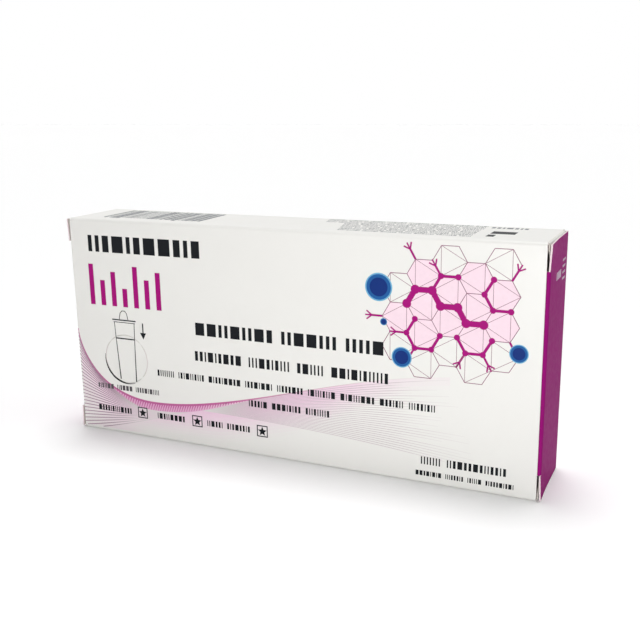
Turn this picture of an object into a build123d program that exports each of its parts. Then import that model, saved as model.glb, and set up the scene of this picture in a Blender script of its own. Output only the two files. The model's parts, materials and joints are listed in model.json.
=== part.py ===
from build123d import *
import os
from math import asin, atan, atan2, cos, degrees, sin, sqrt

# A folding carton for one rapid test, standing on its long narrow side, with the kit that it holds.
# Millimetres, +Z up. X runs along the box, the printed front panel faces -Y, and the origin is the
# middle of the underside. The carton is folded from one sheet. Its two end flaps are solids of
# their own, because they swing on the creases at the ends of the back panel.

# Carton, outside sizes
length = 160.0               # over both end panels
height = 74.1                # over the top and bottom panels
board = 0.45                 # thickness of the cardboard
long_fold_radius = 1.0       # outside radius of the long folds
front_setback = 1.0          # from an end panel's outer face in to the front panel's cut edge
back_edge_height = 0.15      # the back panel's cut lower edge above the underside
glue_flap_width = 12.0       # from the underside up
glue_flap_end_gap = 3.0      # from the end of the box to the flap's end, at its fold
glue_flap_slant = 4.0        # how much further in the flap's end is at its free edge

# Dust flaps, one at each end of the top and bottom panels
dust_flap_length = 24.0      # from the outside of the panel that carries it
dust_fold_radius = 0.8       # outside radius of its fold
dust_flap_gap = 0.15         # to the end panel that closes over it
dust_flap_root = 3.0         # straight part of its back edge
dust_flap_taper = 4.0        # how far its back edge has come in at its tip
dust_tip_radius = 3.0
dust_shoulder = 2.2          # straight part of its front edge, which the end panel's ear catches on
dust_shoulder_step = 3.0     # how far its front edge has come in past that
tongue_passage = 0.15        # between its front edge and the tongue that slides past it

# Push-in disc in the front panel, which makes a hole for the tube to stand in
disc_play = 0.8              # how much wider the hole is than the tube's rim
disc_cut_width = 0.15
disc_nicks = 4               # uncut bridges that hold it
disc_nick_width = 1.0
disc_from_left = 20.5        # its middle from the left end of the box
disc_height = 27.0           # its middle above the underside

# End flaps
end_margin = 0.4             # end panel's edge below the top, and above the bottom, of the box
end_fold_radius = 0.9        # outside radius of the fold between end panel and tongue
slit_length = 7.4            # cut along that fold, in from each edge
slit_width = 0.2
ear_reach = 0.3              # end panel's cut edge past the front panel's inner face, at the slits
relief_length = 4.0          # short cut from the slit's inner end into the end panel
relief_rise = 1.2            # how far that cut slants away from the slit
relief_width = 0.15
ear_run = 10.0               # length of the end panel's edge that bends out with its corner
ear_spring = 0.35            # how far the corner stands out
tongue_length = 13.0         # from the end panel's outer face to the tongue's tip
tongue_margin = 0.6          # tongue's edge in from the end panel's edge
tongue_corner_radius = 9.0
tongue_clearance = 0.12      # between the tongue and the front panel
hinge_clearance = 0.07       # between the crease bead and the back panel

# How close the contents stand to each other and to the carton
seat_gap = 0.05

# Instruction leaflet, folded to and fro
leaflet_end_gap = 7.5        # from each end of the box
leaflet_headroom = 3.2       # under the top panel
leaflet_layers = 6
leaflet_ply = 0.2            # thickness of one layer, two sheets of paper
leaflet_pitch = 0.4          # from one layer to the next
leaflet_edge_step = 1.0      # how far the sheet's free edges stop short of the folds

# Sealed foil pouch with the test cassette in it
pouch_left_gap = 20.0        # from the left end of the box
pouch_right_gap = 15.0       # from the right end of the box
pouch_headroom = 11.2        # under the top panel
seal_width = 8.0
foil_thickness = 0.24        # both foils together at the seal
pouch_bulge = 5.5            # over the cassette
cassette_length = 70.0
cassette_width = 20.0
foil_slack = 2.0             # foil round the cassette's edges
foil_tightness = 0.6         # share of the bulge's rise that is halfway out from the cassette
tear_notch = 1.5

# Peel sleeve with the swab
sleeve_end_gap = 5.0         # from each end of the box
sleeve_paper = 0.12
sleeve_film = 0.1
sleeve_seal = 4.5            # sealed margin above the swab
sleeve_corner_radius = 2.0
swab_end_gap = 5.0           # from each end of the sleeve
swab_play = 0.2              # between the bud and the film
handle_diameter = 2.5
neck_diameter = 1.2
neck_length = 32.0           # thin end, with the bud on it
neck_taper = 6.0
break_groove_depth = 0.5
break_groove_from_tip = 80.0
bud_diameter = 3.0
bud_length = 17.0
bud_cap = 1.0                # bud past the end of the neck

# Extraction tube, lying on its rim and its barrel
tube_length = 58.0
tube_diameter = 14.0
tube_wall = 0.9
rim_reach = 1.0              # rim past the barrel, all round
rim_width = 2.0
tube_cone_length = 8.0       # tapered bottom of the tube
tube_foot_diameter = 5.0     # flat under the taper
tube_play = 1.08             # between the rim, the front panel and the sleeve, together
tube_end_gap = 1.5           # from the left tongue's tip to the rim
lid_thickness = 0.1
lid_tab_width = 6.0
lid_tab_length = 9.0
buffer_depth = 2.2           # of the pool of liquid, at the low end of the barrel
buffer_gap = 0.03

# Dropper cap, standing on its plug
plug_length = 6.0
plug_play = 0.1              # to the tube's bore
cap_flange_width = 1.6
nozzle_length = 13.0
nozzle_root_diameter = 9.0
nozzle_tip_diameter = 3.2
nozzle_bore = 0.7
cap_wall = 0.9
cap_gap = 4.0                # from the tube's foot to the cap's flange

# Worked out from the sizes above. The box is as deep as what stands in it, from the back: the glue
# flap, the leaflet, the pouch, the swab's sleeve and the tube.
end_x = length / 2
half = board / 2
floor_z = board
rim_diameter = tube_diameter + 2 * rim_reach
leaflet_thickness = (leaflet_layers - 1) * leaflet_pitch + leaflet_ply
stack = leaflet_thickness + pouch_bulge + sleeve_paper + 3 * seat_gap + rim_diameter + tube_play
depth = 3 * board + stack
front_y, back_y = -depth / 2, depth / 2
inner_front, inner_back = front_y + board, back_y - board
hinge_x, hinge_y = end_x - board, back_y - board
tongue_outer = hinge_y - inner_front - tongue_clearance
tongue_inner = tongue_outer - board
dust_x = hinge_x - dust_flap_gap
fold_start_x = dust_x - dust_fold_radius
flat_y = depth / 2 - long_fold_radius
glue_fold_y = inner_back - long_fold_radius
glue_inner_y = inner_back - board
root_low, root_high = end_margin + slit_length, height - end_margin - slit_length
tongue_low = end_margin + tongue_margin
tongue_high = height - tongue_low

disc_diameter = rim_diameter + disc_play

leaflet_length = length - 2 * leaflet_end_gap
leaflet_height = height - 2 * board - leaflet_headroom
leaflet_back = glue_inner_y - seat_gap
leaflet_front = leaflet_back - leaflet_thickness
pouch_length = length - pouch_left_gap - pouch_right_gap
pouch_height = height - 2 * board - pouch_headroom
pouch_x = (pouch_left_gap - pouch_right_gap) / 2
pouch_mid = leaflet_front - seat_gap - pouch_bulge / 2
paper_back = pouch_mid - pouch_bulge / 2 - seat_gap
paper_front = paper_back - sleeve_paper
bud_radius = bud_diameter / 2
swab_y = paper_front - bud_radius - seat_gap
swab_z = floor_z + rim_diameter + bud_radius + swab_play + 2 * sleeve_film
sleeve_length = length - 2 * sleeve_end_gap
sleeve_width = swab_z - floor_z + bud_radius + sleeve_seal
swab_length = sleeve_length - 2 * swab_end_gap
tube_y = inner_front + rim_diameter / 2 + 4 * seat_gap
tube_x = -end_x + tongue_length + tube_end_gap
cap_x = tube_x + tube_length + cap_gap + rim_diameter / 2
bore_radius = tube_diameter / 2 - tube_wall


def strip(path, thickness):
    """Section of a sheet that follows a flat path."""
    return trace(path, line_width=thickness)


def both_ends(solid):
    """A solid at the right end and its mirror image at the left end."""
    return [solid, mirror(solid, Plane.YZ)]


def wrap():
    """Back, top, front and bottom panels round the kit, up to the fold of the glue flap."""
    path = FilletPolyline(
        (back_y - half, back_edge_height),
        (back_y - half, height - half),
        (front_y + half, height - half),
        (front_y + half, half),
        (glue_fold_y, half),
        radius=long_fold_radius - half,
    )
    return extrude(Plane.YZ * strip(path, board), end_x - front_setback, both=True)


def glue_flap():
    """Flap from the bottom panel, folded up and glued to the inside of the back panel."""
    path = FilletPolyline(
        (glue_fold_y, half),
        (inner_back - half, half),
        (inner_back - half, glue_flap_width),
        radius=long_fold_radius - half,
    )
    band = extrude(Plane.YZ * strip(path, board), fold_start_x, both=True)
    fold_end = end_x - glue_flap_end_gap
    free_end = fold_end - glue_flap_slant
    outline = Polygon(
        (-fold_start_x, 0), (fold_start_x, 0), (fold_start_x, board), (fold_end, long_fold_radius),
        (free_end, glue_flap_width), (-free_end, glue_flap_width), (-fold_end, long_fold_radius),
        (-fold_start_x, board), align=None,
    )
    return band & extrude(Plane.XZ * outline, depth, both=True)


def dust_flap():
    """Dust flap that folds down from the top panel at the right end."""
    path = FilletPolyline(
        (fold_start_x - board, height - half),
        (dust_x - half, height - half),
        (dust_x - half, height - dust_flap_length),
        radius=dust_fold_radius - half,
    )
    band = extrude(Plane.XZ * strip(path, board), back_y, both=True)
    front_edge = hinge_y - tongue_inner + tongue_passage
    tip_z = height - dust_flap_length
    shoulder_z = height - dust_shoulder
    inset_edge = front_edge + dust_shoulder_step
    outline = Polygon(
        (front_edge, height), (front_edge, shoulder_z), (inset_edge, shoulder_z - dust_shoulder_step),
        (inset_edge, tip_z), (glue_fold_y - dust_flap_taper, tip_z),
        (glue_fold_y, height - dust_flap_root), (glue_fold_y, height), align=None,
    )
    outline = fillet(outline.vertices().sort_by(Axis.Y)[:2], dust_tip_radius)
    return band & extrude(Plane.YZ * outline, length)


def panel_end_cut():
    """What is cut off the right end of the top panel, where its dust flap begins to fold."""
    reach = end_x - fold_start_x
    return Pos(fold_start_x + reach / 2, 0, height - half) * Box(reach, 2 * flat_y, 2 * board)


def hinge_cut():
    """Round hollow in the back panel's right end for the bead of the crease."""
    return Pos(hinge_x, hinge_y, height / 2) * Cylinder(board + hinge_clearance, 2 * height)


def disc_cut():
    """The cut round the push-in disc, in arcs between the nicks that hold it."""
    radius = disc_diameter / 2
    ring = Circle(radius + disc_cut_width / 2) - Circle(radius - disc_cut_width / 2)
    for i in range(disc_nicks):
        turn = 360 * (i + 0.5) / disc_nicks
        ring -= Rot(0, 0, turn) * Pos(radius, 0) * Rectangle(4 * disc_cut_width, disc_nick_width)
    middle = (-end_x + disc_from_left, front_y, disc_height)
    return extrude(Plane(middle, x_dir=(1, 0, 0), z_dir=(0, -1, 0)) * ring, 2 * board, both=True)


def carton():
    """The folded sheet without its end flaps."""
    upside_down = Plane.XY.offset(height / 2)
    cuts = [panel_end_cut(), mirror(panel_end_cut(), upside_down), hinge_cut()]
    flaps = [dust_flap(), mirror(dust_flap(), upside_down)]
    body = wrap() - [c for cut in cuts for c in both_ends(cut)]
    body += [f for flap in flaps for f in both_ends(flap)] + [glue_flap()]
    return body - disc_cut()


def ear():
    """Lower strip of the end panel beside the slit, with its corner sprung out; the hinge at 0, 0."""
    edge_y = inner_front - ear_reach - hinge_y
    crease_start = Vector(0, edge_y, root_low)
    crease = Vector(0, edge_y + ear_run, end_margin) - crease_start
    strip_face = Polygon(
        (0, end_margin), (0, root_low), (edge_y, root_low), (edge_y + ear_run, end_margin), align=None
    )
    corner_face = Polygon(
        (edge_y, end_margin), (edge_y + ear_run, end_margin), (edge_y, root_low), align=None
    )
    reach = ear_run * slit_length / crease.length
    corner = extrude(Plane.YZ * corner_face, board)
    corner = corner.rotate(Axis(crease_start, -crease), degrees(asin(ear_spring / reach)))
    return extrude(Plane.YZ * strip_face, board) + corner


def relief():
    """The short slanting cut where the lower slit ends; the hinge at 0, 0."""
    edge_y = inner_front - ear_reach - hinge_y
    cut = Polygon(
        (edge_y - board, root_low - relief_width), (edge_y - board, root_low),
        (edge_y + relief_length, root_low + relief_rise),
        (edge_y + relief_length, root_low + relief_rise - relief_width), align=None,
    )
    return Pos(-board, 0, 0) * extrude(Plane.YZ * cut, 4 * board)


def end_flap():
    """Right end flap: crease bead, end panel with its ears, fold, slits and tuck-in tongue.

    The tongue is curled on a circle about the crease, so that it slides out along the front
    panel as the flap swings.
    """
    middle = tongue_outer - half
    bend = end_fold_radius - half
    bend_x = half - bend
    bend_y = -sqrt((middle - bend) ** 2 - bend_x**2)
    fold_angle = degrees(atan2(bend_y, bend_x))
    slit_angle = fold_angle - degrees(slit_width / middle)
    tip_angle = -90 - degrees(asin((tongue_length - board) / middle))

    fold_path = Line((half, 0), (half, bend_y)) + CenterArc((bend_x, bend_y), bend, 0, fold_angle)
    fold_path += CenterArc((0, 0), middle, fold_angle, slit_angle - fold_angle)
    up = (0, 0, 1)
    root = Pos(0, 0, root_low) * extrude(strip(fold_path, board), root_high - root_low, dir=up)

    bead = Pos(0, 0, end_margin) * extrude(Circle(board), height - 2 * end_margin, dir=up)
    ears = [ear(), mirror(ear(), Plane.XY.offset(height / 2))]

    curl = strip(CenterArc((0, 0), middle, slit_angle, tip_angle - slit_angle), board)
    curl = Pos(0, 0, tongue_low) * extrude(curl, tongue_high - tongue_low, dir=up)
    outline = Pos(board - tongue_length / 2, height / 2) * Rectangle(
        tongue_length, tongue_high - tongue_low
    )
    outline = fillet(outline.vertices().sort_by(Axis.X)[:2], tongue_corner_radius)
    tongue = curl & extrude(Plane.XZ * outline, 2 * depth, both=True)

    reliefs = [relief(), mirror(relief(), Plane.XY.offset(height / 2))]
    return Pos(hinge_x, hinge_y, 0) * (root + [bead, tongue] + ears - reliefs)


def leaflet():
    """Instruction leaflet: a sheet folded to and fro, standing against the back panel."""
    turn = leaflet_pitch / 2
    low = floor_z + turn + leaflet_ply / 2
    high = floor_z + leaflet_height - turn - leaflet_ply / 2
    last = leaflet_layers - 1
    path = Curve()
    for i in range(leaflet_layers):
        y = leaflet_back - leaflet_ply / 2 - i * leaflet_pitch
        upwards = i % 2 == 0
        start, end = (low, high) if upwards else (high, low)
        step = leaflet_edge_step if upwards else -leaflet_edge_step
        path += Line((y, start + step * (i == 0)), (y, end - step * (i == last)))
        if i < last:
            path += CenterArc((y - turn, end), turn, 0, 180 if upwards else -180)
    return extrude(Plane.YZ * strip(path, leaflet_ply), leaflet_length / 2, both=True)


def cassette_pouch():
    """Foil pouch sealed round the cassette, standing on its long edge."""
    sheet = Rectangle(pouch_length, pouch_height)
    for side in (-1, 1):
        corner = Pos(pouch_length / 2 - seal_width, side * pouch_height / 2) * Rot(0, 0, 45)
        sheet -= corner * Rectangle(tear_notch, tear_notch)
    seal = extrude(sheet, foil_thickness / 2, both=True)
    rise = pouch_bulge / 2
    edge = (pouch_length - 2 * seal_width, pouch_height - 2 * seal_width)
    crown = (cassette_length + 2 * foil_slack, cassette_width + 2 * foil_slack)
    middle = [(a + b) / 2 for a, b in zip(edge, crown)]
    levels = ((edge, 0), (middle, foil_tightness * rise), (crown, rise))
    sections = [Pos(0, 0, z) * RectangleRounded(*size, foil_slack) for size, z in levels]
    pillow = loft(sections, ruled=True)
    middle_z = floor_z + pouch_height / 2
    place = Plane((pouch_x, pouch_mid, middle_z), x_dir=(1, 0, 0), z_dir=(0, -1, 0))
    return place * (seal + pillow + mirror(pillow, Plane.XY))


def sleeve_outline():
    """Face of the peel sleeve, with rounded corners."""
    return RectangleRounded(sleeve_length, sleeve_width, sleeve_corner_radius)


def sleeve_place(y):
    """Plane of the sleeve at a distance y, its local Z towards the front of the box."""
    return Plane((0, y, floor_z + sleeve_width / 2), x_dir=(1, 0, 0), z_dir=(0, -1, 0))


def swab_sleeve_paper():
    """Paper back of the peel sleeve."""
    return extrude(sleeve_place(paper_back) * sleeve_outline(), sleeve_paper)


def tunnel(grow):
    """Space that the film leaves over the swab, grown all round by a distance."""
    reach = bud_radius + swab_play + grow
    out = paper_front - swab_y
    crown = Circle(reach) - Pos(reach, 0) * Rectangle(2 * reach, 2 * reach)
    section = Pos(swab_y, swab_z) * (crown + Pos(out / 2, 0) * Rectangle(out, 2 * reach))
    half_length = swab_length / 2 + swab_play + grow
    return extrude(Plane.YZ * section, half_length, both=True)


def swab_sleeve_film():
    """Clear film front of the peel sleeve, with a tunnel over the swab."""
    sheet = extrude(sleeve_place(paper_front) * sleeve_outline(), sleeve_film)
    return sheet + tunnel(sleeve_film) - tunnel(0)


def swab_shaft():
    """Moulded shaft: handle with a break groove, a taper, and the thin neck under the bud."""
    handle, neck = handle_diameter / 2, neck_diameter / 2
    end = swab_length - bud_cap
    groove = swab_length - break_groove_from_tip
    width = break_groove_depth
    profile = Polygon(
        (0, 0), (0, handle), (groove - width, handle), (groove, handle - break_groove_depth),
        (groove + width, handle), (swab_length - neck_length - neck_taper, handle),
        (swab_length - neck_length, neck), (end, neck), (end, 0), align=None,
    )
    return Pos(-swab_length / 2, swab_y, swab_z) * revolve(profile, Axis.X)


def swab_tip():
    """Flocked bud round the neck."""
    neck, seat = neck_diameter / 2, bud_length - bud_cap
    profile = Polygon(
        (0, neck), (bud_radius, bud_radius), (bud_length - bud_radius, bud_radius),
        (bud_length - bud_radius / 3, 2 * bud_radius / 3), (bud_length, 0), (seat, 0), (seat, neck),
        align=None,
    )
    start = swab_length / 2 - bud_length
    return Pos(start, swab_y, swab_z) * revolve(profile, Axis.X)


def tapered(inset):
    """The tube's outer form along X, with every wall brought in by an inset."""
    radius, foot = tube_diameter / 2 - inset, tube_foot_diameter / 2 - inset
    profile = Polygon(
        (0, 0), (0, radius), (tube_length - tube_cone_length - inset / 2, radius),
        (tube_length - inset, foot), (tube_length - inset, 0), align=None,
    )
    return revolve(profile, Axis.X)


def laid_down(solid):
    """Lays the tube, or what is in or on it, on the floor, on its rim and its barrel's end."""
    rim, body = rim_diameter / 2, tube_diameter / 2
    lean = atan((rim - body) / (tube_length - tube_cone_length - rim_width))
    rise = rim * cos(lean) + rim_width * sin(lean) + seat_gap
    return Pos(tube_x, tube_y, floor_z + rise) * Rot(0, degrees(lean), 0) * solid


def extraction_tube():
    """Soft tube with a rim at its mouth and a tapered bottom."""
    rim = Rot(0, 90, 0) * Cylinder(
        rim_diameter / 2, rim_width, align=(Align.CENTER, Align.CENTER, Align.MIN)
    )
    return laid_down(tapered(0) + rim - tapered(tube_wall))


def tube_foil_lid():
    """Foil sealed on the tube's mouth, with a pull tab."""
    tab_reach = rim_diameter / 2 + lid_tab_length
    tab = Rectangle(lid_tab_width, tab_reach, align=(Align.CENTER, Align.MIN))
    tab = fillet(tab.vertices().sort_by(Axis.Y)[-2:], lid_tab_width / 3)
    lid = extrude(Plane.YZ * (Circle(rim_diameter / 2) + tab), -lid_thickness)
    return laid_down(lid)


def buffer_liquid():
    """Pool of liquid in the lying tube, level on top."""
    fill = laid_down(tapered(tube_wall + buffer_gap))
    level = fill.bounding_box().min.Z + buffer_depth
    return fill & Pos(0, 0, level) * Box(
        2 * length, 2 * length, 2 * height, align=(Align.CENTER, Align.CENTER, Align.MAX)
    )


def dropper_cap():
    """Cap with a plug for the tube's mouth and a hollow nozzle, standing on its plug."""
    plug = bore_radius - plug_play
    flange_low, flange_high = plug_length, plug_length + cap_flange_width
    top = flange_high + nozzle_length
    outside = Polygon(
        (0, 0), (plug, 0), (plug, flange_low), (rim_diameter / 2, flange_low),
        (rim_diameter / 2, flange_high), (nozzle_root_diameter / 2, flange_high),
        (nozzle_tip_diameter / 2, top), (0, top), align=None,
    )
    inside = Polygon(
        (0, 0), (plug - cap_wall, 0), (plug - cap_wall, flange_low),
        (nozzle_root_diameter / 2 - cap_wall, flange_high), (nozzle_bore / 2, top - cap_wall),
        (nozzle_bore / 2, top), (0, top), align=None,
    )
    cap = revolve(outside - inside, Axis.Y)
    return Pos(cap_x, tube_y, floor_z) * Rot(90, 0, 0) * cap


nodes = {
    "carton": carton(),
    "right_end_flap": end_flap(),
    "left_end_flap": mirror(end_flap(), Plane.YZ),
    "leaflet": leaflet(),
    "cassette_pouch": cassette_pouch(),
    "swab_sleeve_paper": swab_sleeve_paper(),
    "swab_sleeve_film": swab_sleeve_film(),
    "swab_shaft": swab_shaft(),
    "swab_tip": swab_tip(),
    "extraction_tube": extraction_tube(),
    "tube_foil_lid": tube_foil_lid(),
    "buffer_liquid": buffer_liquid(),
    "dropper_cap": dropper_cap(),
}

os.makedirs("parts", exist_ok=True)
for name, shape in nodes.items():
    export_step(shape, f"parts/{name}.step")
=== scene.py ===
"""Dresses a boxed rapid test kit: a white folding carton with purple end flaps, its print and its contents.

Lengths on the box are written in millimetres and turned into metres where they are used.
"""
import json
import math
import random

import bmesh
import bpy
from mathutils import Matrix, Vector, noise


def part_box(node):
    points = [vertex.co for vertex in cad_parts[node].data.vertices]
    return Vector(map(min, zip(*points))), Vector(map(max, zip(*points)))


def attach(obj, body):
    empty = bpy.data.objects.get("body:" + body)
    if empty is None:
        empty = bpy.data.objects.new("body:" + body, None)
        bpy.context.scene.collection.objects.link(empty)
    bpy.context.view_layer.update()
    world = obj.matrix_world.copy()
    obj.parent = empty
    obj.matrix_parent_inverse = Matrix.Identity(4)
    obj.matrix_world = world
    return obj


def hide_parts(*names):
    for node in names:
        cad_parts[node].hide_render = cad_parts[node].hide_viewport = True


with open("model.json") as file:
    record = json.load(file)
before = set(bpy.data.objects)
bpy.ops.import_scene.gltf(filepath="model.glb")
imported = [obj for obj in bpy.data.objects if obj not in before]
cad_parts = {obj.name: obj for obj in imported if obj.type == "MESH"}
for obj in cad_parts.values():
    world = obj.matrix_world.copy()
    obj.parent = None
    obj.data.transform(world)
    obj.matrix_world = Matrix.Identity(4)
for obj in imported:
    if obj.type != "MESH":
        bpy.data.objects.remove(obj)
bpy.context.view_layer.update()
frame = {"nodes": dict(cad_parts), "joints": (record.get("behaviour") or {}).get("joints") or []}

MM = 0.001

# The carton: its faces and creases as the frame gives them, and the rest as the solids have it
carton_low, carton_high = (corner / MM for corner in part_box("carton"))
front_face = carton_low.y
back_face = carton_high.y
top_face = carton_high.z
height = top_face - carton_low.z
half_depth = (back_face - front_face) / 2
half_height = height / 2
hinge_x, hinge_y = (abs(part) / MM for part in frame["joints"][0]["pos_m"][:2])
end_face = 80.0
panel_end = 79.0
long_fold_radius = 1.0
ear_length = 7.85
fold_reach = 1.3
crease_slack = 0.1
fold_end_y = front_face + 1.45
surface_slack = 0.03

# The push-in disc in the front panel
disc_u, disc_v = 19.5, top_face - 27.0
disc_radius = 8.4

# Print stands a hair proud of the board, and its root lies a hair inside it
ink_root = 0.01
ink_lift = 0.006
ink_layer = 0.003
ink_step, ink_steps = 0.00005, 50

# Which layer of ink each print lies in, counted from the board
layers = {
    "wave_tint": 1, "wave_lines": 2, "wave_band": 2.5, "wave_hatch": 3.2, "wave_edge": 4,
    "network_tint": 2, "network_spokes": 2.6, "network_cells": 3, "network_twigs": 3.4,
    "network_bonds": 3.8, "network_stem": 4.5, "network_nodes": 5.2,
    "disc_rims": 6, "disc_rings": 6.6, "disc_cores": 7.2,
    "front_heading": 6, "front_rows": 6, "front_bars": 6, "front_pictogram": 6, "front_caption": 5,
    "top_bars": 2, "top_rows": 2, "top_mark": 2, "end_marks": 2,
}


def srgb(red, green, blue):
    """A colour as a screen shows it, 0 to 255, in linear values."""
    def linear(value):
        value /= 255
        return value / 12.92 if value <= 0.04045 else ((value + 0.055) / 1.055) ** 2.4
    return linear(red), linear(green), linear(blue), 1.0


def shade(colour, factor):
    """The same colour, lighter or darker."""
    return tuple(min(part * factor, 1.0) for part in colour[:3]) + (1.0,)


# Colours of the board, the ink and the contents
board_white = srgb(232, 231, 227)
board_inside = srgb(226, 221, 212)
board_core = srgb(236, 218, 222)
purple = srgb(148, 22, 114)
ink_colours = {
    "dark": srgb(24, 26, 30),
    "caption": srgb(84, 80, 84),
    "magenta": srgb(164, 14, 118),
    "wave_edge": srgb(186, 66, 140),
    "wave_hatch": srgb(192, 84, 150),
    "wave_band": srgb(222, 160, 202),
    "wave_line": srgb(150, 104, 134),
    "wave_wash": srgb(234, 196, 220),
    "mesh_line": srgb(138, 84, 108),
    "cell_tint": srgb(244, 219, 230),
    "deep_blue": srgb(20, 50, 120),
    "mid_blue": srgb(36, 92, 156),
    "pale_blue": srgb(110, 176, 208),
    "top_grey": srgb(112, 116, 120),
    "end_pale": srgb(206, 192, 206),
}
leaflet_white = srgb(240, 240, 236)
sleeve_white = srgb(243, 243, 241)
swab_white = srgb(240, 240, 238)
cap_white = srgb(238, 240, 242)
milky_white = srgb(232, 238, 240)
flock_tip, flock_root = srgb(246, 246, 244), srgb(242, 242, 240)
foil_silver = srgb(214, 216, 218)
film_clear = srgb(236, 242, 244)
buffer_clear = srgb(214, 232, 242)


def node_of(tree, kind, inputs, **settings):
    """A new node in a tree of nodes; each input is a value or the output of another node."""
    node = tree.nodes.new("ShaderNode" + kind)
    for name, value in settings.items():
        setattr(node, name, value)
    for socket, value in inputs.items():
        if isinstance(value, bpy.types.NodeSocket):
            tree.links.new(value, node.inputs[socket])
        else:
            node.inputs[socket].default_value = value
    return node


def worked_out(tree, operation, *values):
    """The output of one step of arithmetic."""
    return node_of(tree, "Math", dict(enumerate(values)), operation=operation).outputs[0]


def ranged(tree, value, low, high, start=0.0, end=1.0):
    """Maps a value from the range between start and end to the range between low and high."""
    limits = {"From Min": start, "From Max": end, "To Min": low, "To Max": high}
    return node_of(tree, "MapRange", {"Value": value, **limits}).outputs["Result"]


# A cloudy pattern lies mostly between these values
cloud_low, cloud_high = 0.3, 0.7


class Finish:
    """A material being made: its shader and the patterns that feed it."""

    def __init__(self, name, colour, roughness, **sockets):
        self.material = bpy.data.materials.new(name)
        self.material.use_nodes = True
        self.tree = self.material.node_tree
        self.shader = self.tree.nodes["Principled BSDF"]
        self.normal = None
        self.set("Base Color", colour)
        self.set("Roughness", roughness)
        for socket, value in sockets.items():
            self.set(socket.replace("_", " "), value)

    def set(self, socket, value):
        """Sets a socket of the shader to a plain value."""
        self.shader.inputs[socket].default_value = value

    def feed(self, socket, output):
        """Joins a pattern to a socket of the shader."""
        self.tree.links.new(output, self.shader.inputs[socket])

    def place(self, stretch=(1, 1, 1)):
        """Places in the object's own metres, stretched along an axis where the pattern has a grain."""
        source = node_of(self.tree, "TexCoord", {}).outputs["Object"]
        return node_of(self.tree, "Mapping", {"Scale": stretch, "Vector": source}).outputs["Vector"]

    def noise(self, size, detail=3.0, stretch=(1, 1, 1)):
        """A cloudy pattern whose blotches are about size millimetres across."""
        inputs = {"Scale": 1 / (size * MM), "Detail": detail, "Vector": self.place(stretch)}
        return node_of(self.tree, "TexNoise", inputs).outputs["Fac"]

    def mix(self, factor, first, second):
        """A colour between two others, each a colour or the output of a pattern."""
        factor_in, first_in, second_in, colour_out = 0, 6, 7, 2
        inputs = {factor_in: factor, first_in: first, second_in: second}
        return node_of(self.tree, "Mix", inputs, data_type="RGBA").outputs[colour_out]

    def mottle(self, colour, change, size):
        """Colour that varies a little from place to place."""
        tone = self.mix(self.noise(size), shade(colour, 1 - change), shade(colour, 1 + change))
        self.feed("Base Color", tone)

    def uneven(self, low, high, size):
        """Roughness that varies from place to place."""
        pattern = self.noise(size, detail=4.0)
        self.feed("Roughness", ranged(self.tree, pattern, low, high, cloud_low, cloud_high))

    def bump(self, depth, size, detail, stretch=(1, 1, 1)):
        """Raises the surface by up to depth millimetres where a cloudy pattern is bright."""
        inputs = {"Distance": depth * MM, "Height": self.noise(size, detail, stretch)}
        if self.normal is not None:
            inputs["Normal"] = self.normal
        self.normal = node_of(self.tree, "Bump", inputs).outputs["Normal"]
        self.feed("Normal", self.normal)


# The board's thin coat, its gloss and that of ink, and how ink varies from place to place
board_coat, coat_roughness = 0.12, 0.3
board_gloss, ink_gloss = 0.5, 0.08
ink_change, ink_blotch = 0.05, 1.2
inks = {}


def coated(finish):
    """The smooth side of folding board: a thin gloss over faint fibres."""
    finish.uneven(0.40, 0.52, size=1.6)
    finish.bump(depth=0.004, size=0.55, detail=4.0)
    finish.bump(depth=0.03, size=9.0, detail=1.0)
    return finish


def outside_board():
    """White coated board, a little mottled."""
    finish = coated(Finish("outside_board", board_white, roughness=0.45,
                           Coat_Weight=board_coat, Coat_Roughness=coat_roughness))
    finish.mottle(board_white, change=0.012, size=14.0)
    return finish.material


def inside_board():
    """The uncoated side of the board, with its fibres showing."""
    finish = Finish("inside_board", board_inside, roughness=0.85)
    finish.mottle(board_inside, change=0.05, size=0.8)
    finish.bump(depth=0.02, size=0.35, detail=5.0)
    return finish.material


def cut_edge():
    """The cut through the board, with the grain of its plies."""
    finish = Finish("cut_edge", board_core, roughness=0.9)
    finish.mottle(board_core, change=0.08, size=0.3)
    finish.bump(depth=0.03, size=0.2, detail=4.0, stretch=(1, 1, 0.3))
    return finish.material


def printed_over(name):
    """Board under a solid layer of ink, which takes nearly all its gloss."""
    return coated(Finish(name, purple, roughness=0.5, Specular_IOR_Level=0.01))


def purple_board():
    """Board printed purple all over."""
    finish = printed_over("purple_board")
    finish.mottle(purple, change=0.06, size=6.0)
    return finish.material


def tongue_board(name, bleed_end):
    """The outside of a fold and its tuck-in tongue: purple as far in as bleed_end, then white."""
    finish = printed_over(name)
    along_box = node_of(finish.tree, "SeparateXYZ", {0: finish.place()}).outputs["X"]
    from_middle = worked_out(finish.tree, "ABSOLUTE", along_box)
    printed = worked_out(finish.tree, "GREATER_THAN", from_middle, bleed_end * MM)
    finish.feed("Base Color", finish.mix(printed, board_white, purple))
    return finish.material


def ink(name):
    """Ink on the coated board, which fades into the board where the shape's own fade says so."""
    if name not in inks:
        colour = ink_colours[name]
        finish = coated(Finish("ink_" + name, colour, roughness=0.5, Coat_Roughness=coat_roughness))
        fade = node_of(finish.tree, "Attribute", {}, attribute_name="fade").outputs["Fac"]
        finish.feed("Specular IOR Level", ranged(finish.tree, fade, ink_gloss, board_gloss))
        finish.feed("Coat Weight", ranged(finish.tree, fade, 0.0, board_coat))
        paler, darker = shade(colour, 1 + ink_change), shade(colour, 1 - ink_change)
        tone = finish.mix(finish.noise(ink_blotch), darker, paler)
        finish.feed("Base Color", finish.mix(fade, tone, board_white))
        inks[name] = finish.material
    return inks[name]


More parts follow.
